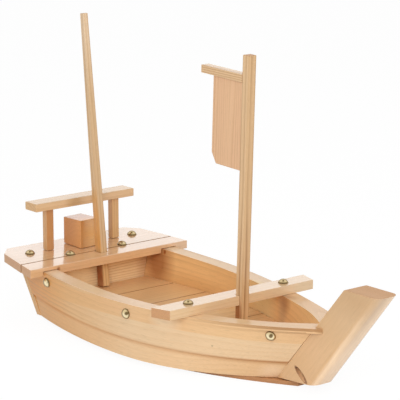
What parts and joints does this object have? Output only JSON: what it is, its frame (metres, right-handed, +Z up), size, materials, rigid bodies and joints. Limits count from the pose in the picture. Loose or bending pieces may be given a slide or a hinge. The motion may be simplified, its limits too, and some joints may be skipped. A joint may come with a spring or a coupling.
{
  "type": "wooden sushi boat",
  "caption": "Boat-shaped wooden serving platter with curved sides, crosswise floor, stern deck with rail, raked stem, crossbeam and lift-out masts, one with a sail board.",
  "frame": {"origin": "middle of the overall box, on the table surface under the base plate", "axes": "+X to the bow, +Y to port, +Z up"},
  "size_m": [0.519, 0.2146, 0.3329],
  "materials": {
    "pine_hull": "sanded pale pine, thin matt lacquer",
    "pine_deck": "sanded pale pine, thin matt lacquer",
    "pine_inner": "sanded warm pine, thin matt lacquer",
    "brass_tack": "polished brass plating",
    "screw_steel": "plain steel"
  },
  "bodies": {
    "hull": {"lower_strake_starboard": "pine_hull", "lower_strake_port": "pine_hull", "upper_plank_starboard": "pine_hull", "upper_plank_port": "pine_hull", "transom_board": "pine_hull", "stem": "pine_hull", "deck_aft_plank": "pine_deck", "deck_front_plank": "pine_deck", "crossbeam": "pine_deck", "stern_rail": "pine_deck", "base_plate": "pine_inner", "aft_bulkhead": "pine_inner", "floor_board_1": "pine_inner", "floor_board_2": "pine_inner", "floor_board_3": "pine_inner", "floor_board_4": "pine_inner", "floor_board_5": "pine_inner", "floor_board_6": "pine_inner", "rail_post_starboard": "pine_inner", "rail_post_port": "pine_inner", "cabin_block": "pine_inner", "deck_tack_outer_starboard": "brass_tack", "deck_tack_inner_starboard": "brass_tack", "beam_tack_starboard": "brass_tack", "side_tack_stern_starboard": "brass_tack", "side_tack_mid_starboard": "brass_tack", "side_tack_bow_starboard": "brass_tack", "deck_tack_outer_port": "brass_tack", "deck_tack_inner_port": "brass_tack", "beam_tack_port": "brass_tack", "side_tack_stern_port": "brass_tack", "side_tack_mid_port": "brass_tack", "side_tack_bow_port": "brass_tack", "stem_screw_starboard": "screw_steel", "stem_screw_port": "screw_steel"},
    "front_mast": {"front_mast": "pine_hull", "sail_yard": "pine_hull", "sail_board": "pine_hull"},
    "rear_mast": {"rear_mast": "pine_hull"}
  },
  "joints": [
    {"name": "front_mast_lift", "type": "slide", "parent": "hull", "child": "front_mast", "axis": [0.0375, 0, 0.9993], "range_m": [0, 0.05]},
    {"name": "rear_mast_lift", "type": "slide", "parent": "hull", "child": "rear_mast", "axis": [-0.1045, 0, 0.9945], "range_m": [0, 0.05]}
  ]
}
